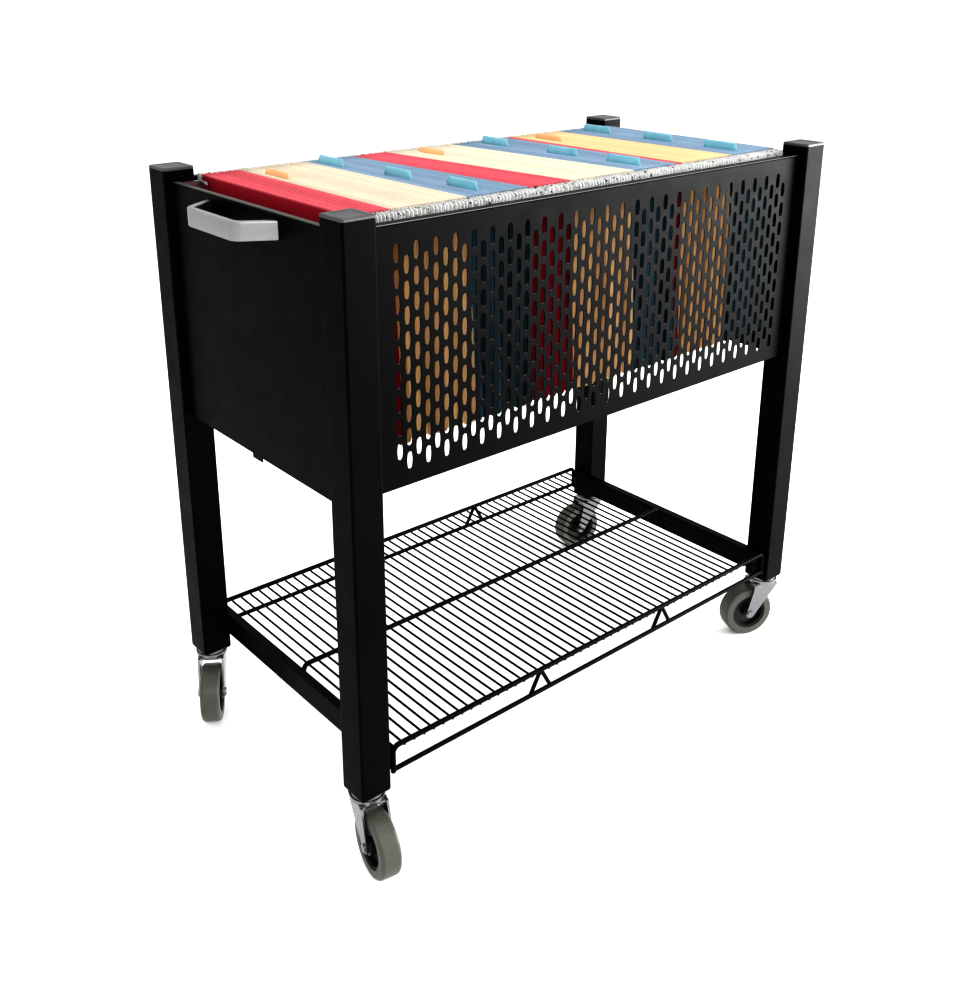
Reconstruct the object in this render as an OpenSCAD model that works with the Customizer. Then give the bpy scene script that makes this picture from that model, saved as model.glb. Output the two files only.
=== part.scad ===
// Hanging file rack: a four-legged cart on swivel casters, with a bottomless bin of perforated
// sheet steel, two hanging rails with letter-size folders, and a welded wire shelf.
// Millimetres, +Z up. The origin is on the floor, midway between the four caster swivel axes.
// -X is the handle end (left), -Y is the front.

/* [Frame] */
// Length over the legs, along X
frame_length = 750; // [740:2:790]
// Width over the legs, along Y
frame_width = 393; // [393:1:420]
// Side of a square leg tube
leg_size = 38; // [34:1:38]
// Length of a leg with its cap
leg_length = 631; // [620:1:700]
// Wall of a leg tube
leg_wall = 1.5; // [1.2:0.1:2]

/* [Casters] */
// Height of the leg bottoms above the floor
ride_height = 94; // [94:1:100]
// Radius of a wheel
wheel_radius = 37; // [32:0.5:37]
// Width of a tyre
wheel_width = 24; // [18:0.5:24.5]
// Distance from the swivel axis to the axle
caster_trail = 24; // [18:1:26]

/* [File bin] */
// Height of the bin's top edge above the leg bottoms
bin_top = 616; // [600:1:616]
// Height of the side panels' bottom edge above the leg bottoms
side_panel_bottom = 345; // [330:1:350]
// Height of the end panels' bottom edge above the leg bottoms
end_panel_bottom = 334; // [320:1:345]
// Setback of the side panels from the legs' outer faces
side_inset = 11.5; // [8:0.5:12]
// Setback of the end panels from the legs' outer faces
end_inset = 8.5; // [6:0.5:12]
// Thickness of the panel steel
sheet = 1.2; // [0.8:0.1:1.5]
// Width of a slot
slot_width = 7.2; // [6:0.1:7.6]
// Length of a slot
slot_length = 18.6; // [16:0.1:20]
// Slots in a column
slot_rows = 9; // [4:1:9]
// Slotted columns in a side panel
slot_columns = 52; // [10:2:52]

/* [Hanging folders] */
// Width of a letter-size folder
folder_width = 298; // [280:1:300]
// Height of the folders' top edge above the leg bottoms
folder_top = 622; // [618:1:623]
// Height of a folder
folder_height = 250; // [230:1:255]
// Centre distance of the hanging rails
rail_spacing = 311; // [311:1:314]

/* [Handle] */
// Height of the handle strap
handle_height = 20; // [16:1:24]
// Thickness of the handle strap
handle_thickness = 8; // [5:0.5:9]
// Reach of the grip beyond the end panel
handle_reach = 38.5; // [30:0.5:45]

/* [Shelf] */
// Diameter of the truss wires
truss_wire = 6; // [5:0.5:7]
// Diameter of the deck wires
deck_wire = 2.8; // [2:0.1:3.5]
// Deck wires across the shelf
deck_wires = 47; // [20:1:50]
// Height of the truss's lower wire above the leg bottoms
truss_bottom = 16.5; // [14:0.5:20]
// Height of the truss's top wire above the leg bottoms
truss_top = 46; // [40:0.5:50]

/* [Hidden] */
$fn = 48;

// Frame
leg_x = (frame_length - leg_size) / 2;
leg_y = (frame_width - leg_size) / 2;
leg_corner = 2.5;
leg_inner_x = frame_length / 2 - leg_size;
leg_inner_y = frame_width / 2 - leg_size;
cap_thickness = 4;
cap_plug_depth = 16;
plug_clearance = 0.1;
plug_size = leg_size - 2 * leg_wall - 2 * plug_clearance;
insert_flange = 1.5;
insert_depth = 24;
// End of each leg as [side along X, side along Y]
FRONT_LEFT = [-1, -1];
REAR_LEFT = [-1, 1];
FRONT_RIGHT = [1, -1];
REAR_RIGHT = [1, 1];
CORNERS = [FRONT_LEFT, REAR_LEFT, FRONT_RIGHT, REAR_RIGHT];

// Casters: heights below the leg bottom, and the way each wheel trails at rest
stem_radius = 5;
stem_fit = 0.06;
raceway_radius = 18.5;
raceway_bottom = 4.7;
dish_top = 5.1;
dish_radius = 20;
fork_top = 9.4;
fork_sheet = 2.6;
fork_half_width = 16.6;
fork_front = -16;
fork_back = 19;
fork_boss = 6.6;
fork_side_place = 6.4;
kingpin_gap = 0.4;
kingpin_head = 2.2;
kingpin_head_radius = 8.5;
axle_depth = ride_height - wheel_radius;
axle_radius = 3.5;
axle_hole = 3.7;
sleeve_radius = 5;
sleeve_fit = 0.06;
hub_radius = 25.5;
hub_rim = 3;
hub_boss_radius = 9.5;
hub_boss_half = 13.4;
hub_web_half = 4;
hub_rim_half = 10;
tyre_shoulder = 4;
rivet_head = 1.6;
rivet_head_radius = 5;
TRAIL_FRONT_LEFT = -100;
TRAIL_REAR_LEFT = -124;
TRAIL_FRONT_RIGHT = 155;
TRAIL_REAR_RIGHT = 168;

// Bin
side_face_y = frame_width / 2 - side_inset;
end_face_x = frame_length / 2 - end_inset;
side_length = 2 * leg_inner_x;
end_length = 2 * leg_inner_y;
bend_radius = 2.5;
side_top_flange = 13;
end_top_flange = 8;
end_top_drop = 0.8;
end_panel_height = bin_top - end_top_drop - end_panel_bottom;
side_end_flange = 12;
end_end_flange = 13;
column_pitch = 12.05;
row_pitch = 25.4;
first_slot_drop = 28.3;
slot_end_radius = 2.9;
slot_end_overlap = 0.1;
tab_width = 20;
tab_drop = 5;
panel_screw_radius = 2.4;
panel_hole_radius = 2.5;
screw_head = 2;
screw_head_radius = 4.4;
panel_screw_length = 8;
panel_screw_heights = [bin_top - 30, end_panel_bottom + 35];

// Rails and folders
rail_thickness = 3;
rail_height = 22;
rail_top = folder_top - 8;
rail_tab = 20;
rod_thickness = 0.8;
rod_top = folder_top - 0.8;
rod_bottom = folder_top - 10.6;
hook_reach = 164;
hook_lip = 5;
hook_gap = 0.4;
hook_slack = 0.9;
rods_half_length = leg_inner_x - 3;
fold_half = 1;
fold_height = 12.4;
group_gap = 0.5;
tab_piece_width = 52;
tab_piece_height = 16;
tab_piece_rise = 10.5;
tab_piece_thickness = 0.7;
tab_gap = 0.1;
// Folders in each colour run, from the handle end
RUN_COUNTS = [5, 10, 9, 5, 11, 8, 1, 10, 9];
folder_total = run_start(len(RUN_COUNTS));
folder_pitch = 2 * rods_half_length / folder_total;
rod_offset = 0.24 * folder_pitch;
// Plastic tabs of each run as [folder in the run, place along Y]
NO_TABS = [];
YELLOW_TABS_1 = [[1, 80]];
BLUE_TABS_1 = [[0, 107], [1, -11], [2, -108]];
YELLOW_TABS_2 = [[0, 100]];
BLUE_TABS_2 = [[0, 107], [1, -11], [2, -108]];
YELLOW_TABS_3 = [[2, 96]];
BLUE_TABS_3 = [[4, 107], [5, -5], [5, -108]];

// Handle outline, in plan
handle_top = 608.6;
grip_half = 50;
foot_half = 73.5;
handle_bend = 18;
handle_screw_radius = 2.4;
handle_screw_depth = 6;
handle_screw_inset = 7;

// Shelf
truss_y = frame_width / 2 - 5.5;
bar_height = 28;
bar_bottom = 16;
bar_depth = 11;
bar_wall = 1.5;
bar_half_length = truss_y - truss_wire / 2;
bar_groove = 1;
bar_groove_height = 4;
bar_screw_radius = 2.9;
bar_hole_radius = 3;
bar_screw_head_radius = 5;
bar_screw_length = 16;
bar_screw_place = 5;
bar_screw_bore = 7;
bar_screw_heights = [21, 31];
truss_half = leg_inner_x - 7;
mid_wire_half = leg_inner_x - bar_depth - truss_wire / 2;
lower_wire = 5.6;
mid_wire_end = truss_bottom + 6;
truss_bend = 8;
brace_wire = 5;
brace_place = 110;
brace_half = 17;
deck_margin = 16;

BLACK = [0.06, 0.06, 0.07];
CAP_GREY = [0.17, 0.17, 0.18];
ZINC = [0.72, 0.73, 0.75];
ALUMINIUM = [0.8, 0.81, 0.83];
TYRE_GREY = [0.4, 0.39, 0.38];
RED = [0.8, 0.2, 0.24];
YELLOW = [0.96, 0.88, 0.62];
BLUE = [0.35, 0.5, 0.68];

function run_start(run) = run <= 0 ? 0 : RUN_COUNTS[run - 1] + run_start(run - 1);
function folder_x(index) = -rods_half_length + (index + 0.5) * folder_pitch;
function from_end(point, centre, radius, side) =
    let (away = point - centre, lean = acos(radius / norm(away)), turn = atan2(away[1], away[0]))
    centre + radius * [cos(turn + side * lean), sin(turn + side * lean)];
function arc(centre, radius, from, to, steps = 12) =
    [for (step = [0:steps]) let (turn = from + (to - from) * step / steps)
        centre + radius * [cos(turn), sin(turn)]];

// An outline's points in reverse order, on the other side of the X axis
function flipped(points) = [for (i = [len(points) - 1:-1:0]) [points[i][0], -points[i][1]]];

// A bar with rounded vertical edges, centred on the Z axis
module rounded_bar(width, depth, height, radius) {
    translate([-width / 2 + radius, -depth / 2, 0]) cube([width - 2 * radius, depth, height]);
    translate([-width / 2, -depth / 2 + radius, 0]) cube([width, depth - 2 * radius, height]);
    for (x = [-1, 1], y = [-1, 1])
        translate([x * (width / 2 - radius), y * (depth / 2 - radius), 0]) cylinder(r = radius, h = height);
}

// A quarter of a sheet-steel bend about the Z axis
module quarter_bend(length) {
    rotate_extrude(angle = 90) translate([bend_radius - sheet, 0]) square([sheet, length]);
}

// A panel with its outer face on Y = 0, folded towards +Y at its top and at both ends
module folded_panel(length, height, top_flange, end_flange) {
    flat = length / 2 - bend_radius;
    flange_height = height - bend_radius - sheet;
    translate([-flat, 0, 0]) cube([2 * flat, sheet, height - bend_radius]);
    translate([-flat, bend_radius, height - sheet]) cube([2 * flat, top_flange - bend_radius, sheet]);
    translate([-flat, bend_radius, height - bend_radius]) rotate([90, 0, 90]) rotate([0, 0, 90])
        quarter_bend(2 * flat);
    translate([flat, bend_radius, 0]) rotate([0, 0, -90]) quarter_bend(flange_height);
    translate([-flat, bend_radius, 0]) rotate([0, 0, 180]) quarter_bend(flange_height);
    for (side = [-1, 1])
        translate([side * (length / 2 - sheet / 2) - sheet / 2, bend_radius, 0])
            cube([sheet, end_flange - bend_radius, flange_height]);
}

// An oval slot: a large arc on each side and a small arc at each end
module slot() {
    half = slot_width / 2;
    end_place = slot_length / 2 - slot_end_radius;
    side_radius = (half * half + end_place * end_place - slot_end_radius * slot_end_radius)
        / (2 * (half - slot_end_radius));
    side_place = side_radius - half;
    meeting = end_place * side_radius / (side_radius - slot_end_radius);
    rotate([90, 0, 0]) linear_extrude(4 * sheet, center = true) {
        intersection() {
            translate([side_place, 0]) circle(r = side_radius, $fn = 120);
            translate([-side_place, 0]) circle(r = side_radius, $fn = 120);
            square([slot_width + 2, 2 * meeting], center = true);
        }
        for (side = [-1, 1])
            translate([0, side * (end_place - slot_end_overlap)])
                circle(r = slot_end_radius + slot_end_overlap);
    }
}

module pan_screw(radius, head_radius, head, length) {
    cylinder(r = radius, h = length);
    translate([0, 0, -head]) cylinder(r = head_radius, h = head);
}

module at_corner(corner) {
    translate([corner[0] * leg_x, corner[1] * leg_y, ride_height]) children();
}

// Places of the screws that hold the panels' folded ends to a leg, each along its own axis
module at_side_panel_screws() {
    for (height = panel_screw_heights)
        translate([-leg_size / 2, side_face_y - leg_y - side_end_flange / 2 - 1, height])
            rotate([0, 90, 0]) children();
}

module at_end_panel_screws() {
    for (height = panel_screw_heights)
        translate([end_face_x - leg_x - end_end_flange / 2 - 1, -leg_size / 2, height])
            rotate([-90, 0, 0]) children();
}

module at_bar_screws() {
    for (height = bar_screw_heights)
        translate([-leg_size / 2, bar_screw_place, height]) rotate([0, 90, 0]) children();
}

module toward_corner(corner) {
    at_corner(corner) mirror([corner[0] < 0 ? 1 : 0, 0, 0]) mirror([0, corner[1] < 0 ? 1 : 0, 0]) children();
}

module leg(corner) {
    color(BLACK) toward_corner(corner) difference() {
        rounded_bar(leg_size, leg_size, leg_length - cap_thickness, leg_corner);
        translate([0, 0, -1])
            rounded_bar(leg_size - 2 * leg_wall, leg_size - 2 * leg_wall, leg_length, leg_corner - leg_wall);
        at_side_panel_screws() cylinder(r = panel_hole_radius, h = 6, center = true);
        at_end_panel_screws() cylinder(r = panel_hole_radius, h = 6, center = true);
        at_bar_screws() cylinder(r = bar_hole_radius, h = 6, center = true);
    }
}

module leg_caps() {
    color(CAP_GREY) for (corner = CORNERS) at_corner(corner) {
        translate([0, 0, leg_length - cap_thickness])
            rounded_bar(leg_size, leg_size, cap_thickness, leg_corner);
        translate([0, 0, leg_length - cap_thickness - cap_plug_depth])
            rounded_bar(plug_size, plug_size, cap_plug_depth, leg_corner - leg_wall);
    }
}

module caster_inserts() {
    color(BLACK) for (corner = CORNERS) toward_corner(corner) difference() {
        union() {
            translate([0, 0, -insert_flange])
                rounded_bar(leg_size - 1, leg_size - 1, insert_flange, leg_corner);
            rounded_bar(plug_size, plug_size, insert_depth, leg_corner - leg_wall);
        }
        at_bar_screws() cylinder(r = bar_hole_radius, h = 2 * bar_screw_bore, center = true);
        translate([0, 0, -insert_flange - 1])
            cylinder(r = stem_radius + 0.05, h = insert_depth + insert_flange + 2);
    }
}

module side_panel() {
    color(BLACK) difference() {
        translate([0, -side_face_y, ride_height + side_panel_bottom])
            folded_panel(side_length, bin_top - side_panel_bottom, side_top_flange, side_end_flange);
        for (column = [0:slot_columns - 1], row = [0:slot_rows - 1])
            translate([
                (column - (slot_columns - 1) / 2) * column_pitch,
                -side_face_y,
                ride_height + bin_top - first_slot_drop - (row + (column % 2) / 2) * row_pitch
            ]) slot();
        for (corner = [FRONT_LEFT, FRONT_RIGHT])
            toward_corner(corner) at_side_panel_screws()
                cylinder(r = panel_hole_radius, h = 6, center = true);
    }
}

module end_panel() {
    color(BLACK) difference() {
        union() {
            translate([-end_face_x, 0, ride_height + end_panel_bottom]) rotate([0, 0, -90])
                folded_panel(end_length, end_panel_height, end_top_flange, end_end_flange);
            translate([-end_face_x, -tab_width / 2, ride_height + end_panel_bottom - tab_drop])
                cube([sheet, tab_width, tab_drop]);
        }
        for (corner = [FRONT_LEFT, REAR_LEFT])
            toward_corner(corner) at_end_panel_screws()
                cylinder(r = panel_hole_radius, h = 6, center = true);
    }
}

module end_panel_left() {
    difference() {
        end_panel();
        color(BLACK) at_handle_screws() cylinder(r = handle_screw_radius + 0.1, h = 6, center = true);
    }
}

module panel_screws() {
    color(BLACK) for (corner = CORNERS) toward_corner(corner) {
        at_side_panel_screws() translate([0, 0, -sheet])
            pan_screw(panel_screw_radius, screw_head_radius, screw_head, panel_screw_length);
        at_end_panel_screws() translate([0, 0, -sheet])
            pan_screw(panel_screw_radius, screw_head_radius, screw_head, panel_screw_length);
    }
}

// A flat bar on edge between the end panels, with a foot folded inwards at each end
module hanging_rail() {
    inner = end_face_x - sheet;
    color(ZINC) translate([0, 0, ride_height + rail_top - rail_height]) {
        translate([-inner, -rail_spacing / 2 - rail_thickness / 2, 0])
            cube([2 * inner, rail_thickness, rail_height]);
        for (side = [-1, 1])
            translate([side * (inner - rail_thickness / 2) - rail_thickness / 2, -rail_spacing / 2, 0])
                cube([rail_thickness, rail_tab, rail_height - 6]);
    }
}

module handle() {
    grip = [-end_face_x - handle_reach, grip_half];
    foot = [-end_face_x, foot_half];
    along = (foot - grip) / norm(foot - grip);
    inward = [along[1], -along[0]];
    centre_slide = (handle_bend - handle_bend * inward[0]) / along[0];
    centre = grip + handle_bend * inward + centre_slide * along;
    return_angle = atan2(-inward[1], -inward[0]);
    inner_start = grip + handle_thickness * inward;
    inner_foot = inner_start + along * (foot[0] - inner_start[0]) / along[0];
    outer = concat([foot], arc(centre, handle_bend, return_angle, 180));
    inner = concat(arc(centre, handle_bend - handle_thickness, 180, return_angle), [inner_foot]);
    color(ALUMINIUM) difference() {
        translate([0, 0, ride_height + handle_top - handle_height]) linear_extrude(handle_height)
            polygon(concat(outer, flipped(outer), flipped(inner), inner));
        at_handle_screws() cylinder(r = handle_screw_radius + 0.1, h = 2 * handle_screw_depth, center = true);
    }
}

module at_handle_screws() {
    height = ride_height + handle_top - handle_height / 2;
    for (side = [-1, 1])
        translate([-end_face_x, side * (foot_half - handle_screw_inset), height])
            rotate([0, -90, 0]) children();
}

module handle_screws() {
    color(BLACK) at_handle_screws() translate([0, 0, -sheet])
        pan_screw(handle_screw_radius, screw_head_radius, screw_head, sheet + handle_screw_depth - 1);
}

module cross_bar() {
    color(BLACK) difference() {
        translate([-leg_inner_x, -bar_half_length, ride_height + bar_bottom])
            cube([bar_depth, 2 * bar_half_length, bar_height]);
        translate([-leg_inner_x + bar_wall, -bar_half_length - 1, ride_height + bar_bottom + bar_wall])
            cube([bar_depth - 2 * bar_wall - bar_groove, 2 * bar_half_length + 2, bar_height - 2 * bar_wall]);
        for (third = [1, 2])
            translate([
                -leg_inner_x + bar_depth - bar_groove,
                -bar_half_length - 1,
                ride_height + bar_bottom + third * bar_height / 3 - bar_groove_height / 2
            ]) cube([2 * bar_groove, 2 * bar_half_length + 2, bar_groove_height]);
        for (corner = [FRONT_LEFT, REAR_LEFT])
            toward_corner(corner) at_bar_screws() cylinder(r = bar_hole_radius, h = 60, center = true);
    }
}

module cross_bar_screws() {
    color(BLACK) for (corner = CORNERS) toward_corner(corner) at_bar_screws()
        translate([0, 0, -bar_depth])
            pan_screw(bar_screw_radius, bar_screw_head_radius, screw_head, bar_screw_length);
}

module wire_between(from, to, wire) {
    along = to - from;
    translate(from) rotate([0, acos(along[2] / norm(along)), atan2(along[1], along[0])])
        cylinder(d = wire, h = norm(along));
}

// A bent corner of the truss wire, in the XZ plane
module wire_corner(x, z, turn) {
    translate([x, 0, z]) rotate([90, 0, 0]) rotate([0, 0, turn])
        rotate_extrude(angle = 90) translate([truss_bend, 0]) circle(d = truss_wire);
}

module truss_braces() {
    for (place = [-1, 1], lean = [-1, 1])
        wire_between([place * brace_place + lean * brace_half, 0, truss_bottom],
            [place * brace_place, 0, truss_top], brace_wire);
}

// The top wire is bent down at its ends, onto the ends of the lower wire
module shelf_truss() {
    straight = truss_half - truss_bend;
    high = truss_top - truss_bend;
    color(BLACK) translate([0, -truss_y, ride_height]) {
        wire_between([-straight, 0, truss_top], [straight, 0, truss_top], truss_wire);
        wire_between([-truss_half, 0, truss_bottom], [truss_half, 0, truss_bottom], lower_wire);
        wire_corner(straight, high, 0);
        wire_corner(-straight, high, 90);
        for (side = [-1, 1])
            wire_between([side * truss_half, 0, truss_bottom - truss_wire / 2], [side * truss_half, 0, high],
                truss_wire);
        truss_braces();
    }
}

// The middle wire, with its ends bent down onto the cross-bars
module shelf_mid_wire() {
    straight = mid_wire_half - truss_bend;
    high = truss_top - truss_bend;
    color(BLACK) translate([0, 0, ride_height]) {
        wire_between([-straight, 0, truss_top], [straight, 0, truss_top], truss_wire);
        wire_corner(straight, high, 0);
        wire_corner(-straight, high, 90);
        for (side = [-1, 1])
            wire_between([side * mid_wire_half, 0, high], [side * mid_wire_half, 0, mid_wire_end], truss_wire);
    }
}

// The deck wires, welded under the trusses and cut where the braces pass
module shelf_deck_wires() {
    reach = truss_half - deck_margin;
    height = ride_height + truss_top - (truss_wire + deck_wire) / 2;
    color(BLACK) difference() {
        for (wire = [0:deck_wires - 1])
            let (x = -reach + 2 * reach * wire / (deck_wires - 1))
                wire_between([x, -truss_y, height], [x, truss_y, height], deck_wire);
        for (side = [-1, 1]) translate([0, side * truss_y, ride_height]) truss_braces();
    }
}

// The threaded stem with the fixed raceway and the kingpin head
module caster_stem(corner) {
    head_top = fork_top + fork_sheet + kingpin_gap;
    stem = head_top + kingpin_head + insert_depth - 2;
    color(ZINC) at_corner(corner) {
        translate([0, 0, -head_top - kingpin_head]) cylinder(r = stem_radius, h = stem);
        translate([0, 0, -raceway_bottom]) cylinder(r = raceway_radius, h = raceway_bottom - insert_flange);
        translate([0, 0, -head_top - kingpin_head]) cylinder(r = kingpin_head_radius, h = kingpin_head);
    }
}

// One side plate of the fork, in the plane of the wheel
module fork_plate() {
    axle = [caster_trail, -axle_depth];
    front = [fork_front, -fork_top - fork_sheet / 2];
    back = [fork_back, -fork_top - fork_sheet / 2];
    rotate([90, 0, 0]) linear_extrude(fork_sheet) difference() {
        union() {
            polygon([
                front, back, from_end(back, axle, fork_side_place, -1),
                axle, from_end(front, axle, fork_side_place, 1)
            ]);
            translate(axle) circle(r = fork_boss);
        }
        translate(axle) circle(r = axle_hole);
    }
}

module caster_fork(corner, trail) {
    middle = (fork_front + fork_back) / 2;
    color(ZINC) at_corner(corner) rotate([0, 0, trail]) {
        difference() {
            union() {
                translate([middle, 0, -fork_top - fork_sheet])
                    rounded_bar(fork_back - fork_front, 2 * fork_half_width, fork_sheet, 6);
                translate([0, 0, -fork_top]) cylinder(r = dish_radius, h = fork_top - dish_top);
            }
            translate([0, 0, -fork_top - fork_sheet - 1])
                cylinder(r = stem_radius + stem_fit, h = fork_top + fork_sheet);
        }
        translate([0, fork_half_width, 0]) fork_plate();
        translate([0, fork_sheet - fork_half_width, 0]) fork_plate();
    }
}

module at_axle(corner, trail) {
    at_corner(corner) rotate([0, 0, trail]) translate([caster_trail, 0, -axle_depth])
        rotate([90, 0, 0]) children();
}

// The riveted axle and the sleeve that the wheel turns on
module caster_axle(corner, trail) {
    head_top = fork_half_width + rivet_head;
    sleeve = 2 * (fork_half_width - fork_sheet);
    color(ZINC) at_axle(corner, trail) {
        cylinder(r = axle_radius, h = 2 * head_top, center = true);
        for (side = [-1, 1])
            translate([0, 0, side * (head_top - rivet_head / 2)])
                cylinder(r = rivet_head_radius, h = rivet_head, center = true);
        difference() {
            cylinder(r = sleeve_radius, h = sleeve, center = true);
            cylinder(r = axle_radius + 0.05, h = sleeve + 2, center = true);
        }
    }
}

module wheel_hub(corner, trail) {
    color(BLACK) at_axle(corner, trail) difference() {
        union() {
            cylinder(r = hub_boss_radius, h = 2 * hub_boss_half, center = true);
            cylinder(r = hub_radius - hub_rim / 2, h = 2 * hub_web_half, center = true);
            difference() {
                cylinder(r = hub_radius, h = 2 * hub_rim_half, center = true);
                cylinder(r = hub_radius - hub_rim, h = 2 * hub_rim_half + 2, center = true);
            }
        }
        cylinder(r = sleeve_radius + sleeve_fit, h = 2 * hub_boss_half + 2, center = true);
    }
}

module wheel_tyre(corner, trail) {
    half = wheel_width / 2;
    wall = wheel_radius - hub_radius;
    color(TYRE_GREY) at_axle(corner, trail) rotate_extrude() {
        translate([hub_radius, -half]) square([wall - tyre_shoulder, wheel_width]);
        translate([hub_radius, tyre_shoulder - half]) square([wall, wheel_width - 2 * tyre_shoulder]);
        for (side = [-1, 1])
            translate([wheel_radius - tyre_shoulder, side * (half - tyre_shoulder)])
                circle(r = tyre_shoulder);
    }
}

// One rod of a hanging folder, hooked over both rails
module folder_rod() {
    notch = rail_thickness / 2 + hook_slack;
    reach = hook_reach;
    rail_y = rail_spacing / 2;
    ceiling = rail_top + hook_gap;
    half = [
        [0, rod_top], [reach - 2, rod_top], [reach, rod_top - 2], [reach, rod_bottom - hook_lip],
        [rail_y + notch, rod_bottom - hook_lip], [rail_y + notch, ceiling], [rail_y - notch, ceiling],
        [rail_y - notch, rod_bottom], [0, rod_bottom]
    ];
    rotate([90, 0, 90]) linear_extrude(rod_thickness, center = true) {
        polygon(half);
        mirror([1, 0]) polygon(half);
    }
}

module rods(run, last) {
    color(ZINC) for (index = [run_start(run):run_start(last + 1) - 1], side = [-1, 1])
        translate([folder_x(index) + side * rod_offset, 0, ride_height]) folder_rod();
}

// A run of folders: the closed pack below, and a paper fold round each rod
module folders(run, tint, tabs) {
    first = run_start(run);
    count = RUN_COUNTS[run];
    base = ride_height + folder_top - folder_height;
    shoulder = folder_height - fold_height;
    color(tint) {
        difference() {
            union() {
                translate([folder_x(first) - folder_pitch / 2 + group_gap / 2, -folder_width / 2, base])
                    cube([count * folder_pitch - group_gap, folder_width, shoulder]);
                for (index = [first:first + count - 1], side = [-1, 1])
                    let (x = folder_x(index) + side * rod_offset)
                        translate([x - fold_half, -folder_width / 2, base + shoulder - 1])
                            cube([2 * fold_half, folder_width, fold_height + 1]);
            }
            for (index = [first:first + count - 1], side = [-1, 1])
                translate([
                    folder_x(index) + side * rod_offset - rod_thickness / 2 - 0.05,
                    -folder_width / 2 - 1,
                    ride_height + rod_bottom - 0.05
                ]) cube([rod_thickness + 0.1, folder_width + 2, rod_top - rod_bottom + 0.1]);
        }
        for (tab = tabs)
            translate([
                folder_x(first + tab[0]) - rod_offset - fold_half - tab_piece_thickness - tab_gap,
                tab[1] - tab_piece_width / 2,
                ride_height + folder_top + tab_piece_rise - tab_piece_height
            ]) cube([tab_piece_thickness, tab_piece_width, tab_piece_height]);
    }
}

leg(FRONT_LEFT);  // leg_front_left
leg(REAR_LEFT);  // leg_rear_left
leg(FRONT_RIGHT);  // leg_front_right
leg(REAR_RIGHT);  // leg_rear_right
leg_caps();
caster_inserts();
side_panel();  // side_panel_front
mirror([0, 1, 0]) side_panel();  // side_panel_rear
end_panel_left();
mirror([1, 0, 0]) end_panel();  // end_panel_right
panel_screws();
hanging_rail();  // hanging_rail_front
mirror([0, 1, 0]) hanging_rail();  // hanging_rail_rear
handle();
handle_screws();
cross_bar();  // cross_bar_left
mirror([1, 0, 0]) cross_bar();  // cross_bar_right
cross_bar_screws();
shelf_truss();  // shelf_truss_front
mirror([0, 1, 0]) shelf_truss();  // shelf_truss_rear
shelf_mid_wire();
shelf_deck_wires();
caster_stem(FRONT_LEFT);  // caster_stem_front_left
caster_fork(FRONT_LEFT, TRAIL_FRONT_LEFT);  // caster_fork_front_left
caster_axle(FRONT_LEFT, TRAIL_FRONT_LEFT);  // caster_axle_front_left
wheel_hub(FRONT_LEFT, TRAIL_FRONT_LEFT);  // wheel_hub_front_left
wheel_tyre(FRONT_LEFT, TRAIL_FRONT_LEFT);  // wheel_tyre_front_left
caster_stem(REAR_LEFT);  // caster_stem_rear_left
caster_fork(REAR_LEFT, TRAIL_REAR_LEFT);  // caster_fork_rear_left
caster_axle(REAR_LEFT, TRAIL_REAR_LEFT);  // caster_axle_rear_left
wheel_hub(REAR_LEFT, TRAIL_REAR_LEFT);  // wheel_hub_rear_left
wheel_tyre(REAR_LEFT, TRAIL_REAR_LEFT);  // wheel_tyre_rear_left
caster_stem(FRONT_RIGHT);  // caster_stem_front_right
caster_fork(FRONT_RIGHT, TRAIL_FRONT_RIGHT);  // caster_fork_front_right
caster_axle(FRONT_RIGHT, TRAIL_FRONT_RIGHT);  // caster_axle_front_right
wheel_hub(FRONT_RIGHT, TRAIL_FRONT_RIGHT);  // wheel_hub_front_right
wheel_tyre(FRONT_RIGHT, TRAIL_FRONT_RIGHT);  // wheel_tyre_front_right
caster_stem(REAR_RIGHT);  // caster_stem_rear_right
caster_fork(REAR_RIGHT, TRAIL_REAR_RIGHT);  // caster_fork_rear_right
caster_axle(REAR_RIGHT, TRAIL_REAR_RIGHT);  // caster_axle_rear_right
wheel_hub(REAR_RIGHT, TRAIL_REAR_RIGHT);  // wheel_hub_rear_right
wheel_tyre(REAR_RIGHT, TRAIL_REAR_RIGHT);  // wheel_tyre_rear_right
folders(0, RED, NO_TABS);  // folders_red_1
folders(1, YELLOW, YELLOW_TABS_1);  // folders_yellow_1
folders(2, BLUE, BLUE_TABS_1);  // folders_blue_1
folders(3, RED, NO_TABS);  // folders_red_2
folders(4, YELLOW, YELLOW_TABS_2);  // folders_yellow_2
folders(5, BLUE, BLUE_TABS_2);  // folders_blue_2
folders(6, RED, NO_TABS);  // folder_red_3
folders(7, YELLOW, YELLOW_TABS_3);  // folders_yellow_3
folders(8, BLUE, BLUE_TABS_3);  // folders_blue_3
rods(0, 0);  // rods_red_1
rods(1, 1);  // rods_yellow_1
rods(2, 2);  // rods_blue_1
rods(3, 3);  // rods_red_2
rods(4, 4);  // rods_yellow_2
rods(5, 6);  // rods_blue_2
rods(7, 7);  // rods_yellow_3
rods(8, 8);  // rods_blue_3
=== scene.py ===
"""Looks of the hanging file rack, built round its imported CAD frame. Metres, +Z up, -Y is the front."""
import math
import random

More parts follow.
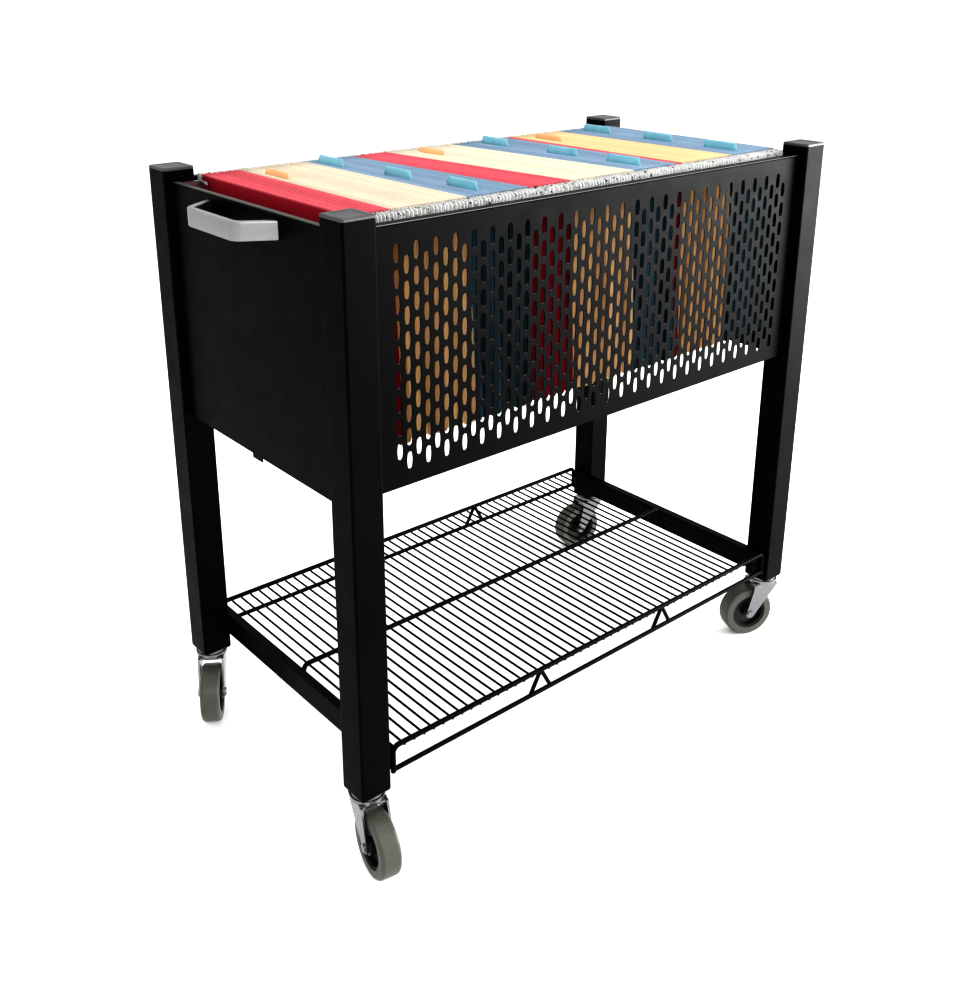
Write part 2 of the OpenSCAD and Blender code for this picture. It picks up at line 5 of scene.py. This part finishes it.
import bmesh
import bpy
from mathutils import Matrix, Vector


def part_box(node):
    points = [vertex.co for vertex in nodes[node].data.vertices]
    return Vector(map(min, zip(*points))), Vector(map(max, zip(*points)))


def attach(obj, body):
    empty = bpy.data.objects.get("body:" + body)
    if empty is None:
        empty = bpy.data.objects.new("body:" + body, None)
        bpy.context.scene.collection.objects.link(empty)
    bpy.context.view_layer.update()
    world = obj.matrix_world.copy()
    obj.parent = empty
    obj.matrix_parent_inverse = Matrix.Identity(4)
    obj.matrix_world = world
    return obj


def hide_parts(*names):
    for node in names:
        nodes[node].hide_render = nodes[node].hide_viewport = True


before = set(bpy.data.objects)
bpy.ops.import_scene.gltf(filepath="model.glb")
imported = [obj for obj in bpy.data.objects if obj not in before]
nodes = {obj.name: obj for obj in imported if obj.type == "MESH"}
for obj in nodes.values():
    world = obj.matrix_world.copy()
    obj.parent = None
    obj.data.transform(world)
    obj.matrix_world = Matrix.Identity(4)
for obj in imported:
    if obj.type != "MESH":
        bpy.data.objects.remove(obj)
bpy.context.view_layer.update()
MM = 0.001
scene = bpy.context.scene


# ---------------------------------------------------------------- shader helpers

def new_material(name, **values):
    """A material with a Principled shader, and constant values set on the shader's own sockets."""
    material = bpy.data.materials.new(name)
    material.use_nodes = True
    shader = material.node_tree.nodes["Principled BSDF"]
    for key, value in values.items():
        socket = shader.inputs[key.replace("_", " ")]
        socket.default_value = (*value, 1.0) if isinstance(value, tuple) else value
    return material, material.node_tree, shader


def object_point(tree, scale=(1, 1, 1)):
    place = tree.nodes.new("ShaderNodeTexCoord")
    mapping = tree.nodes.new("ShaderNodeMapping")
    mapping.inputs["Scale"].default_value = scale
    tree.links.new(place.outputs["Object"], mapping.inputs["Vector"])
    return mapping.outputs["Vector"]


def noise(tree, scale, detail=2.0, stretch=(1, 1, 1), rough=0.5):
    texture = tree.nodes.new("ShaderNodeTexNoise")
    texture.inputs["Scale"].default_value = scale
    texture.inputs["Detail"].default_value = detail
    texture.inputs["Roughness"].default_value = rough
    tree.links.new(object_point(tree, stretch), texture.inputs["Vector"])
    return texture.outputs["Fac"]


def ramp(tree, factor, stops):
    """A colour ramp; stops are (position, colour) with grey levels or RGB."""
    node = tree.nodes.new("ShaderNodeValToRGB")
    elements = node.color_ramp.elements
    while len(elements) < len(stops):
        elements.new(0.5)
    for element, (position, colour) in zip(elements, stops):
        element.position = position
        rgb = colour if isinstance(colour, tuple) else (colour,) * 3
        element.color = (*rgb, 1.0)
    tree.links.new(factor, node.inputs["Fac"])
    return node.outputs["Color"]


def blend(tree, factor, first, second, mode="MIX"):
    node = tree.nodes.new("ShaderNodeMix")
    node.data_type = "RGBA"
    node.blend_type = mode
    if isinstance(factor, float):
        node.inputs["Factor"].default_value = factor
    else:
        tree.links.new(factor, node.inputs["Factor"])
    for socket, colour in ((node.inputs[6], first), (node.inputs[7], second)):
        if isinstance(colour, tuple):
            socket.default_value = (*colour, 1.0)
        else:
            tree.links.new(colour, socket)
    return node.outputs[2]


def sum_of(tree, first, first_share, second, second_share):
    scaled = []
    for value, share in ((first, first_share), (second, second_share)):
        node = tree.nodes.new("ShaderNodeMath")
        node.operation = "MULTIPLY"
        tree.links.new(value, node.inputs[0])
        node.inputs[1].default_value = share
        scaled.append(node.outputs[0])
    node = tree.nodes.new("ShaderNodeMath")
    node.operation = "ADD"
    tree.links.new(scaled[0], node.inputs[0])
    tree.links.new(scaled[1], node.inputs[1])
    return node.outputs[0]


def bump(tree, shader, height, strength, distance):
    node = tree.nodes.new("ShaderNodeBump")
    node.inputs["Strength"].default_value = strength
    node.inputs["Distance"].default_value = distance
    tree.links.new(height, node.inputs["Height"])
    tree.links.new(node.outputs["Normal"], shader.inputs["Normal"])


def height_share(tree, low, high):
    """0 below the height low and 1 above the height high, in the piece's own frame."""
    split = tree.nodes.new("ShaderNodeSeparateXYZ")
    tree.links.new(object_point(tree), split.inputs[0])
    node = tree.nodes.new("ShaderNodeMapRange")
    node.inputs["From Min"].default_value = low
    node.inputs["From Max"].default_value = high
    tree.links.new(split.outputs["Z"], node.inputs["Value"])
    return node.outputs["Result"]


# ---------------------------------------------------------------- materials

def powder_coat(name, dark, light, roughness, edge=None, edge_from=0.0):
    """Satin black powder coat with a fine orange-peel skin. edge is a painted highlight: the lighter grey
    that faces looking straight up are painted in, for light from above on the top edges, only where they lie
    further than edge_from from the rack's middle in Y."""
    material, tree, shader = new_material(name, Specular_IOR_Level=0.06)
    colour = ramp(tree, noise(tree, 6, 3), [(0.3, dark), (0.7, light)])
    if edge:
        geometry = tree.nodes.new("ShaderNodeNewGeometry")
        split = tree.nodes.new("ShaderNodeSeparateXYZ")
        tree.links.new(geometry.outputs["Normal"], split.inputs[0])
        # painted highlight: faces looking straight up turn lighter grey, for the light that falls on the top
        # edges
        upward_highlight = ramp(tree, split.outputs["Z"], [(0.75, 0.0), (0.95, 1.0)])
        place = tree.nodes.new("ShaderNodeSeparateXYZ")
        tree.links.new(object_point(tree), place.inputs[0])
        across = tree.nodes.new("ShaderNodeMath")
        across.operation = "ABSOLUTE"
        tree.links.new(place.outputs["Y"], across.inputs[0])
        outside = tree.nodes.new("ShaderNodeMath")
        outside.operation = "GREATER_THAN"
        outside.inputs[1].default_value = edge_from
        tree.links.new(across.outputs[0], outside.inputs[0])
        rim_highlight_colour = blend(tree, outside.outputs[0], colour, edge)
        colour = blend(tree, upward_highlight, colour, rim_highlight_colour)
    tree.links.new(colour, shader.inputs["Base Color"])
    gloss = ramp(tree, noise(tree, 35, 4), [(0.3, roughness - 0.04), (0.75, roughness + 0.06)])
    tree.links.new(gloss, shader.inputs["Roughness"])
    peel = sum_of(tree, noise(tree, 950, 2), 0.7, noise(tree, 260, 2), 0.3)
    bump(tree, shader, peel, 0.16, 0.0004)
    return material


def moulded_plastic(name, dark, light, roughness):
    material, tree, shader = new_material(name, Specular_IOR_Level=0.45)
    tree.links.new(ramp(tree, noise(tree, 25, 3), [(0.3, dark), (0.75, light)]), shader.inputs["Base Color"])
    gloss = ramp(tree, noise(tree, 90, 4), [(0.25, roughness - 0.05), (0.8, roughness + 0.08)])
    tree.links.new(gloss, shader.inputs["Roughness"])
    bump(tree, shader, noise(tree, 2200, 1), 0.12, 0.0002)
    return material


def coated_rod(name, pale, gap_shade_colour):
    """A thin pale coating with small irregular dark spots painted in it, as painted shade for the dark gaps
    between the hooks.
    """
    material, tree, shader = new_material(name, Specular_IOR_Level=0.4)
    # painted shade: irregular near-black spots for the shade in the gaps between the hooks
    gap_shade = ramp(tree, noise(tree, 300, 2, (1, 0.6, 1)), [(0.34, 1.0), (0.40, 0.0)])
    coat = ramp(tree, noise(tree, 40, 2), [(0.3, tuple(0.8 * level for level in pale)), (0.7, pale)])
    tree.links.new(blend(tree, gap_shade, coat, gap_shade_colour), shader.inputs["Base Color"])
    tree.links.new(ramp(tree, gap_shade, [(0.0, 0.34), (1.0, 0.55)]), shader.inputs["Roughness"])
    return material


def metal(name, dark, light, roughness, stretch=(1, 1, 1), grain=220.0, grain_depth=0.08):
    """Plated or brushed metal: grain runs along the axis that stretch makes short."""
    material, tree, shader = new_material(name, Metallic=1.0)
    tone = sum_of(tree, noise(tree, 18, 3), 0.5, noise(tree, grain, 3, stretch), 0.5)
    tree.links.new(ramp(tree, tone, [(0.3, dark), (0.7, light)]), shader.inputs["Base Color"])
    speckle = noise(tree, grain * 0.6, 4, stretch)
    gloss = ramp(tree, speckle, [(0.25, roughness - 0.06), (0.8, roughness + 0.09)])
    tree.links.new(gloss, shader.inputs["Roughness"])
    bump(tree, shader, noise(tree, grain * 4, 2, stretch), grain_depth, 0.0003)
    return material


def tyre_rubber():
    """Warm grey rubber, paler in patches and dull all over."""
    material, tree, shader = new_material("grey_rubber", Specular_IOR_Level=0.35)
    patches = sum_of(tree, noise(tree, 45, 4), 0.6, noise(tree, 400, 3), 0.4)
    tones = ramp(tree, patches, [(0.3, (0.066, 0.065, 0.056)), (0.7, (0.088, 0.087, 0.075))])
    tree.links.new(tones, shader.inputs["Base Color"])
    gloss = ramp(tree, noise(tree, 120, 3), [(0.3, 0.34), (0.8, 0.5)])
    tree.links.new(gloss, shader.inputs["Roughness"])
    bump(tree, shader, noise(tree, 1500, 2), 0.12, 0.0002)
    return material


def card(name, dark, light, lit_top, top, lit_top_depth):
    """Coloured folder card: paler along the folded top edges as a painted highlight of the light from above,
    each folder in its own tone.
    """
    material, tree, shader = new_material(name, Specular_IOR_Level=0.2)
    fibres = sum_of(tree, noise(tree, 900, 3, (1, 0.25, 1)), 0.5, noise(tree, 30, 3), 0.5)
    tone = tree.nodes.new("ShaderNodeAttribute")
    tone.attribute_name = "tone"
    body = blend(tree, tone.outputs["Fac"], dark, light)
    # painted highlight: the folded top edges take the paler colour, where light from above falls on them
    lit_top_share = height_share(tree, top - lit_top_depth, top - 0.6 * MM)
    lit_top_tone = blend(tree, tone.outputs["Fac"], tuple(0.84 * level for level in lit_top), lit_top)
    colour = blend(tree, lit_top_share, body, lit_top_tone)
    shaded = ramp(tree, fibres, [(0.25, 0.86), (0.75, 1.0)])
    tree.links.new(blend(tree, 1.0, colour, shaded, "MULTIPLY"), shader.inputs["Base Color"])
    tree.links.new(ramp(tree, fibres, [(0.3, 0.72), (0.7, 0.9)]), shader.inputs["Roughness"])
    bump(tree, shader, noise(tree, 1400, 2, (1, 0.4, 1)), 0.15, 0.0002)
    return material


def tab_plastic(name, colour, light):
    material, tree, shader = new_material(name, Specular_IOR_Level=0.5)
    tones = ramp(tree, noise(tree, 60, 2), [(0.3, colour), (0.7, light)])
    tree.links.new(tones, shader.inputs["Base Color"])
    gloss = ramp(tree, noise(tree, 200, 2), [(0.3, 0.34), (0.7, 0.42)])
    tree.links.new(gloss, shader.inputs["Roughness"])
    return material


folder_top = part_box("folder_red_3")[1].z
BLACK_TONES = ((0.0016, 0.0015, 0.0015), (0.0032, 0.003, 0.003))
PANEL_OUTER_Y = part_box("side_panel_rear")[1].y
COAT = powder_coat("black_powder_coat", *BLACK_TONES, 0.42)
# painted highlight: the end panels' upward faces, their thin top edges, in lighter grey
TOP_HIGHLIGHT_COAT = powder_coat("top_highlight_powder_coat", *BLACK_TONES, 0.42, edge=(0.08, 0.08, 0.077))
# painted highlight: upward faces at the side panels' outer rim in light grey
RIM_HIGHLIGHT_COAT = powder_coat("rim_highlight_powder_coat", *BLACK_TONES, 0.42,
                          edge=(0.3, 0.3, 0.29), edge_from=PANEL_OUTER_Y - 2 * MM)
CAP = moulded_plastic("cap_plastic", (0.042, 0.042, 0.042), (0.058, 0.058, 0.058), 0.46)
HUB = moulded_plastic("black_plastic", (0.010, 0.010, 0.0105), (0.02, 0.02, 0.021), 0.42)
ZINC = metal("zinc_plate", (0.215, 0.22, 0.22), (0.25, 0.255, 0.255), 0.24)
SCREW = powder_coat("black_screw", (0.008, 0.008, 0.009), (0.014, 0.014, 0.015), 0.34)
RAIL = metal("rail_steel", (0.5, 0.51, 0.52), (0.7, 0.7, 0.72), 0.36, (0.06, 1, 1))
# the second colour is the near-black painted shade between the hooks
ROD = coated_rod("rod_steel", (0.66, 0.66, 0.65), (0.03, 0.03, 0.03))
ALUMINIUM = metal("satin_aluminium", (0.27, 0.27, 0.27), (0.30, 0.30, 0.30), 0.40, (1, 0.05, 1), 300.0)
RUBBER = tyre_rubber()
# cards: dark and light body tone, the painted highlight colour of the lit top edges, the top's height, and
# how deep the highlight reaches
RED = card("red_card", (0.24, 0.012, 0.026), (0.38, 0.022, 0.045), (0.68, 0.16, 0.19), folder_top, 3.4 * MM)
YELLOW = card("yellow_card", (0.64, 0.42, 0.23), (0.92, 0.70, 0.42), (0.70, 0.62, 0.50), folder_top, 8 * MM)
ORANGE = card("orange_card", (0.64, 0.40, 0.20), (0.92, 0.64, 0.34), (0.72, 0.55, 0.33), folder_top, 8 * MM)
BLUE = card("blue_card", (0.018, 0.042, 0.052), (0.08, 0.19, 0.24), (0.27, 0.36, 0.46), folder_top, 5 * MM)
BLUE_TAB = tab_plastic("blue_tab", (0.17, 0.38, 0.46), (0.22, 0.44, 0.52))
YELLOW_TAB = tab_plastic("yellow_tab", (0.66, 0.40, 0.20), (0.70, 0.45, 0.24))


def material_for(name):
    """The material of a CAD node that stays in view."""
    if name == "leg_caps":
        return CAP
    if name == "caster_inserts" or name.startswith("wheel_hub"):
        return HUB
    if name.endswith("_screws"):
        return SCREW
    if name.startswith("hanging_rail"):
        return RAIL
    if name == "handle":
        return ALUMINIUM
    if name.startswith("caster_"):
        return ZINC
    if name.startswith("wheel_tyre"):
        return RUBBER
    if name.startswith("rods"):
        return ROD
    for word, material in (("red", RED), ("yellow", YELLOW), ("blue", BLUE)):
        if word in name:
            return material
    if name.startswith("side_panel"):
        return RIM_HIGHLIGHT_COAT
    return TOP_HIGHLIGHT_COAT if name.startswith("end_panel") else COAT


for node_name, node in nodes.items():
    node.data.materials.clear()
    node.data.materials.append(material_for(node_name))


# ---------------------------------------------------------------- mesh helpers

def piece(name, mesh, material, body, slot, *replaced, smooth=True):
    """Adds a finished mesh as a piece of a body, with its material and the CAD nodes it stands for. The slot
    argument is not used.
    """
    obj = bpy.data.objects.new(name, mesh)
    scene.collection.objects.link(obj)
    mesh.materials.append(material)
    for face in mesh.polygons:
        face.use_smooth = smooth
    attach(obj, body)
    if replaced:
        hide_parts(*replaced)
    return obj


# ---------------------------------------------------------------- folders

# Colour runs from the handle end: folders, and where the run starts along X at the front and at the rear
RUNS = (
    ("red_1", 5, -334, -334),
    ("yellow_1", 10, -287, -285),
    ("blue_1", 9, -189, -195),
    ("red_2", 5, -104, -127),
    ("yellow_2", 11, -39, -75),
    ("blue_2", 8, 63, 32),
    ("red_3", 1, 138, 131),
    ("yellow_3", 10, 149, 142),
    ("blue_3", 9, 244, 233),
)
RUNS_END = 334
# Plastic tabs of a run as (folder in the run, place along Y)
TABS = {
    "yellow_1": ((1, 80),),
    "blue_1": ((1, 107), (2, -11), (3, -108)),
    "yellow_2": ((3, 100),),
    "blue_2": ((3, 107), (3, -11), (3, -108)),
    "yellow_3": ((2, 96),),
    "blue_3": ((3, 107), (3, -5), (3, -108)),
}
# The single red folder has no body of its own: it is lifted with the blue run beside it
CARRIED = {"red_3": "blue_2"}
TAB_RISES = {"blue": 9.8 * MM, "yellow": 7 * MM}
TAB_WIDTH = 52 * MM
TAB_THICKNESS = 0.5 * MM
CARD_THICKNESS = 0.32 * MM
# Cross sections of a sheet along Y
STATIONS = 9
# How far the rods stand from the folder's middle, as a share of the pitch
ROD_SHARE = 0.24
# How far the bottom of every folder hangs towards +X
LEAN = 13 * MM
draw = random.Random(7)
pack_low, pack_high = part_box("folders_red_1")
rod_low, rod_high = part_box("rods_red_1")
rail_low, rail_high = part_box("hanging_rail_front")
HALF_WIDTH = pack_high.y
FOLDER_LOW = pack_low.z


class Folder:
    """Where one folder hangs: its middle and its pitch along X, which change from the rear to the front."""

    def __init__(self, run, index):
        number = [name for name, *_ in RUNS].index(run)
        count, front, rear = RUNS[number][1:]
        next_front, next_rear = RUNS[number + 1][2:] if number + 1 < len(RUNS) else (RUNS_END, RUNS_END)
        self.pitches = ((next_rear - rear) / count * MM, (next_front - front) / count * MM)
        self.middles = tuple(
            start * MM + (index + 0.5) * pitch for start, pitch in zip((rear, front), self.pitches))

    def at(self, y):
        share = (HALF_WIDTH - y) / (2 * HALF_WIDTH)
        middle = self.middles[0] + share * (self.middles[1] - self.middles[0])
        return middle, self.pitches[0] + share * (self.pitches[1] - self.pitches[0])


def sheet_outline():
    """Half of a folder's section, the hem and then the flap, as (share of the pitch, X offset, height)."""
    fold = 1.0 * MM
    hem = [(ROD_SHARE, -0.7 * fold, folder_top - 15 * MM), (ROD_SHARE, -0.9 * fold, folder_top - 4 * MM)]
    for step in range(9):
        turn = math.radians(22.5 * step)
        hem.append((ROD_SHARE, -fold * math.cos(turn), folder_top - fold + fold * math.sin(turn)))
    flap = [(ROD_SHARE, fold, folder_top - 5 * MM), (0.36, 0, folder_top - 16 * MM),
            (0.42, 0, folder_top - 45 * MM), (0.42, 0, FOLDER_LOW + 30 * MM), (0.41, 0, FOLDER_LOW + 12 * MM),
            (0.33, 0, FOLDER_LOW + 3 * MM), (0.15, 0, FOLDER_LOW + 0.4 * MM)]
    return hem + flap


OUTLINE = sheet_outline()
SECTION = ([(-1, *point) for point in OUTLINE] + [(0, 0, 0, FOLDER_LOW)]
           + [(1, *point) for point in reversed(OUTLINE)])


def folder_sheet(form, tone_layer, folder):
    """One hanging folder: a single card sheet, hemmed over two rods and folded at the bottom."""
    lean = LEAN + draw.uniform(-0.4, 0.4) * MM
    drop = draw.uniform(-0.6, 0.0) * MM
    tone = draw.random()
    rows = []
    for station in range(STATIONS):
        y = -HALF_WIDTH + 2 * HALF_WIDTH * station / (STATIONS - 1)
        middle, pitch = folder.at(y)
        bow = draw.uniform(-0.16, 0.16) * MM
        row = []
        for side, share, offset, z in SECTION:
            depth = (folder_top - z) / (folder_top - FOLDER_LOW)
            x = middle + side * (share * pitch + offset) + lean * depth + bow * min(1, 4 * depth)
            settle = drop * depth + (draw.uniform(-0.5, 0.5) * MM if depth > 0.9 else 0)
            vert = form.verts.new((x, y, z + settle))
            vert[tone_layer] = tone
            row.append(vert)
        rows.append(row)
    for near, far in zip(rows, rows[1:]):
        for step in range(len(SECTION) - 1):
            form.faces.new((near[step], near[step + 1], far[step + 1], far[step]))


def rod_outline():
    """The rod's outline in Y and Z, hooked over both rails."""
    notch = (rail_high.y - rail_low.y) / 2 + 0.9 * MM
    rail_y = abs(rail_low.y + rail_high.y) / 2
    ceiling = rail_high.z + 0.4 * MM
    bottom = rod_low.z + 5 * MM
    reach, top = rod_high.y, rod_high.z
    half = [(HALF_WIDTH, top), (reach - 3 * MM, top), (reach - 0.9 * MM, top - 0.9 * MM),
            (reach, top - 3 * MM), (reach, rod_low.z + 1 * MM), (reach - 1 * MM, rod_low.z),
            (rail_y + notch, rod_low.z), (rail_y + notch, ceiling), (rail_y - notch, ceiling),
            (rail_y - notch, bottom), (HALF_WIDTH, bottom)]
    return half + [(-y, z) for y, z in reversed(half)]


ROD_OUTLINE = rod_outline()


def folder_rods(form, folder):
    """The two flat rods of a folder. The hooks sway out of line past the card's edges."""
    half_thickness = 0.4 * MM
    for side in (-1, 1):
        twist = [draw.uniform(-0.9, 0.9) * MM for _ in range(2)]
        sag = draw.uniform(-0.35, 0) * MM
        faces = []
        for wall in (-half_thickness, half_thickness):
            ring = []
            for y, z in ROD_OUTLINE:
                middle, pitch = folder.at(y)
                sway = twist[y > 0] * min(1, (abs(y) - HALF_WIDTH) / (4 * MM))
                ring.append(form.verts.new((middle + side * ROD_SHARE * pitch + sway + wall, y, z + sag)))
            faces.append(ring)
        near, far = faces
        count = len(near) // 2
        for ring in faces:
            form.faces.new(ring[:count])
            form.faces.new(ring[count:])
            form.faces.new((ring[count - 1], ring[count], ring[-1], ring[0]))
        for step in range(len(near)):
            after = (step + 1) % len(near)
            form.faces.new((near[after], near[step], far[step], far[after]))


def folder_tab(form, folder, y, rise_above):
    """A moulded index tab: one curved plastic sheet, narrower at the top, standing on the fold."""
    low, high = folder_top - 5 * MM, folder_top + rise_above
    middle, pitch = folder.at(y)
    base = middle - ROD_SHARE * pitch
    tilt, turn = draw.uniform(-1.5, 0.5) * MM, draw.uniform(-0.8, 0.8) * MM
    across, up = 12, 6
    rows = []
    for level in range(up + 1):
        rise = level / up
        row = []
        for step in range(across + 1):
            side = 2 * step / across - 1
            reach = TAB_WIDTH / 2 * (1 - 0.10 * max(0, rise - 0.55) / 0.45)
            belly = 0.9 * MM * math.sin(math.pi * min(1, rise * 1.1)) + 0.5 * MM * (1 - side * side)
            x = base - 1.3 * MM - belly + tilt * rise + turn * side
            row.append(form.verts.new((x, y + side * reach, low + rise * (high - low))))
        rows.append(row)
    for lower, upper in zip(rows, rows[1:]):
        for step in range(across):
            form.faces.new((lower[step], lower[step + 1], upper[step + 1], upper[step]))


def finished_mesh(form, name):
    bmesh.ops.recalc_face_normals(form, faces=form.faces)
    mesh = bpy.data.meshes.new(name)
    form.to_mesh(mesh)
    form.free()
    return mesh


def thicken(obj, thickness):
    shell = obj.modifiers.new("thickness", "SOLIDIFY")
    shell.thickness = thickness
    shell.offset = 0


def make_cards():
    """The card sheets of every run, and the index tabs on them."""
    for run, count, _, _ in RUNS:
        colour = run.split("_")[0]
        body = "folders_" + CARRIED.get(run, run) + "_run"
        form = bmesh.new()
        tone_layer = form.verts.layers.float.new("tone")
        for index in range(count):
            folder_sheet(form, tone_layer, Folder(run, index))
        node_name = "folder_red_3" if run == "red_3" else "folders_" + run
        material = ORANGE if run == "yellow_3" else {"red": RED, "yellow": YELLOW, "blue": BLUE}[colour]
        mesh = finished_mesh(form, "card_" + run)
        sheets = piece("card_" + run, mesh, material, body, colour + "_card", node_name)
        thicken(sheets, CARD_THICKNESS)
        if run in TABS:
            form = bmesh.new()
            for index, y in TABS[run]:
                folder_tab(form, Folder(run, index), y * MM, TAB_RISES[colour])
            material = BLUE_TAB if colour == "blue" else YELLOW_TAB
            tabs = piece("tabs_" + run, finished_mesh(form, "tabs_" + run), material, body, colour + "_card")
            thicken(tabs, TAB_THICKNESS)


def make_hooks():
    """The rods of every lift-out body, with those of a run that it carries."""
    for run, count, _, _ in RUNS:
        if run in CARRIED:
            continue
        form = bmesh.new()
        for index in range(count):
            folder_rods(form, Folder(run, index))
        for carried, carried_count, _, _ in RUNS:
            if CARRIED.get(carried) == run:
                for index in range(carried_count):
                    folder_rods(form, Folder(carried, index))
        mesh = finished_mesh(form, "hooks_" + run)
        body = "folders_" + run + "_run"
        piece("hooks_" + run, mesh, ROD, body, "rod_steel", "rods_" + run, smooth=False)


make_cards()
make_hooks()


# ---------------------------------------------------------------- leg caps and handle

HANDLE_THICKNESS = 8 * MM
HANDLE_BEND = 18 * MM
GRIP_HALF = 50 * MM


def rounded_square(half, radius, steps=5):
    ring = []
    for corner in range(4):
        for step in range(steps + 1):
            turn = math.radians(90 * corner + 90 * step / steps)
            middle = half - radius
            x = middle if corner in (0, 3) else -middle
            y = middle if corner in (0, 1) else -middle
            ring.append((x + radius * math.cos(turn), y + radius * math.sin(turn)))
    return ring


def stack(form, place, levels):
    """Skins rounded squares of (half side, corner radius, height), closed at the last one."""
    rings = []
    for half, radius, z in levels:
        corners = rounded_square(half, radius)
        rings.append([form.verts.new((place[0] + x, place[1] + y, z)) for x, y in corners])
    for lower, upper in zip(rings, rings[1:]):
        for step in range(len(lower)):
            after = (step + 1) % len(lower)
            form.faces.new((lower[step], lower[after], upper[after], upper[step]))
    form.faces.new(list(reversed(rings[0])))
    form.faces.new(rings[-1])


def make_caps():
    form = bmesh.new()
    for node_name in ("leg_front_left", "leg_rear_left", "leg_front_right", "leg_rear_right"):
        low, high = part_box(node_name)
        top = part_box("leg_caps")[1].z
        half = (high.x - low.x) / 2
        place = ((low.x + high.x) / 2, (low.y + high.y) / 2)
        stack(form, place, [
            (half - 1.6 * MM, 2 * MM, high.z - 6 * MM), (half - 1.6 * MM, 2 * MM, high.z),
            (half - 0.5 * MM, 2.2 * MM, high.z + 0.05 * MM), (half, 2.5 * MM, high.z + 0.6 * MM),
            (half, 2.5 * MM, top - 1.5 * MM), (half - 0.3 * MM, 2.4 * MM, top - 0.7 * MM),
            (half - 0.9 * MM, 2.2 * MM, top - 0.2 * MM), (half - 1.8 * MM, 2 * MM, top),
            (half - 5.5 * MM, 2 * MM, top), (half - 6.5 * MM, 2 * MM, top - 0.5 * MM)])
    mesh = finished_mesh(form, "cap_covers")
    piece("cap_covers", mesh, CAP, "root", "cap_plastic", "leg_caps", smooth=False)


def handle_outline():
    """The strap's plan, round the same bends as the CAD handle."""
    low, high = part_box("handle")
    grip, foot = Vector((low.x, GRIP_HALF)), Vector((high.x, high.y))
    along = (foot - grip).normalized()
    inward = Vector((along.y, -along.x))
    slide = HANDLE_BEND * (1 - inward.x) / along.x
    centre = grip + HANDLE_BEND * inward + slide * along
    end_turn = math.atan2(-inward.y, -inward.x)
    end_turn += 2 * math.pi if end_turn < 0 else 0

    def arc(radius, start, end, steps=10):
        turns = [start + (end - start) * step / steps for step in range(steps + 1)]
        return [centre + radius * Vector((math.cos(turn), math.sin(turn))) for turn in turns]

    inner_start = grip + HANDLE_THICKNESS * inward
    inner_foot = inner_start + along * (foot.x - inner_start.x) / along.x
    outer = [foot] + arc(HANDLE_BEND, end_turn, math.pi)
    inner = arc(HANDLE_BEND - HANDLE_THICKNESS, math.pi, end_turn) + [inner_foot]

    def mirrored(points):
        return [Vector((point.x, -point.y)) for point in reversed(points)]

    return outer + mirrored(outer) + mirrored(inner) + inner


def make_handle():
    low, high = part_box("handle")
    form = bmesh.new()
    base = form.faces.new([form.verts.new((p.x, p.y, low.z)) for p in handle_outline()])
    grown = bmesh.ops.extrude_face_region(form, geom=[base])
    bmesh.ops.translate(form, vec=(0, 0, high.z - low.z),
                        verts=[v for v in grown["geom"] if isinstance(v, bmesh.types.BMVert)])
    edges = [edge for edge in form.edges if len(edge.link_faces) == 2
             and edge.calc_face_angle() > math.radians(60)]
    bmesh.ops.bevel(form, geom=edges, offset=1.6 * MM, segments=4, profile=0.5, affect="EDGES")
    strap = piece("pull_handle", finished_mesh(form, "pull_handle"), ALUMINIUM, "root", "satin_aluminium",
                  "handle")
    strap.data.set_sharp_from_angle(angle=math.radians(35))


make_caps()
make_handle()


# ---------------------------------------------------------------- stage, light and camera

FLOOR_REACH = 9.0
WORLD_STRENGTH = 0.88
# Area lights: place, the point it faces, its two sides in metres, and watts
LIGHTS = {
    "key_light": ((-1.5, -2.3, 2.2), (0, 0, 0.5), (1.6, 1.6), 26),
    "top_light": ((0.1, 0.2, 2.7), (0, 0, 0.4), (2.2, 1.6), 12),
    "right_light": ((2.15, -1.8, 0.75), (0, 0, 0.5), (2.1, 1.4), 115),
}
CAMERA_PLACE = (-0.9139, -1.0111, 0.9297)
CAMERA_HEADING = math.radians(49.963)
CAMERA_TILT = math.radians(-18.597)
CAMERA_LENS = 40.12
CAMERA_SHIFT = (0.02, -0.15)


def make_floor():
    mesh = bpy.data.meshes.new("floor")
    corners = [(x * FLOOR_REACH, y * FLOOR_REACH, 0) for x, y in ((-1, -1), (1, -1), (1, 1), (-1, 1))]
    mesh.from_pydata(corners, [], [(0, 1, 2, 3)])
    floor = bpy.data.objects.new("floor", mesh)
    scene.collection.objects.link(floor)
    mesh.materials.append(new_material("pale_floor", Base_Color=(0.93, 0.93, 0.93), Roughness=0.7)[0])


def area_light(name, place, aim, size, power):
    data = bpy.data.lights.new(name, "AREA")
    data.shape = "RECTANGLE"
    data.size, data.size_y = size
    data.energy = power
    light = bpy.data.objects.new(name, data)
    scene.collection.objects.link(light)
    light.location = place
    light.rotation_euler = (Vector(aim) - Vector(place)).to_track_quat("-Z", "Y").to_euler()


def make_light():
    world = bpy.data.worlds.new("studio")
    scene.world = world
    world.use_nodes = True
    background = world.node_tree.nodes["Background"]
    background.inputs["Color"].default_value = (1.0, 1.0, 1.0, 1.0)
    background.inputs["Strength"].default_value = WORLD_STRENGTH
    for name, (place, aim, size, power) in LIGHTS.items():
        area_light(name, place, aim, size, power)


def make_camera():
    data = bpy.data.cameras.new("camera")
    data.lens = CAMERA_LENS
    data.shift_x, data.shift_y = CAMERA_SHIFT
    camera = bpy.data.objects.new("camera", data)
    scene.collection.objects.link(camera)
    camera.location = CAMERA_PLACE
    level = math.cos(CAMERA_TILT)
    ahead = Vector((
        level * math.cos(CAMERA_HEADING), level * math.sin(CAMERA_HEADING), math.sin(CAMERA_TILT)))
    camera.rotation_euler = ahead.to_track_quat("-Z", "Y").to_euler()
    scene.camera = camera


make_floor()
make_light()
make_camera()
scene.view_settings.view_transform = "Standard"
scene.view_settings.look = "Very High Contrast"
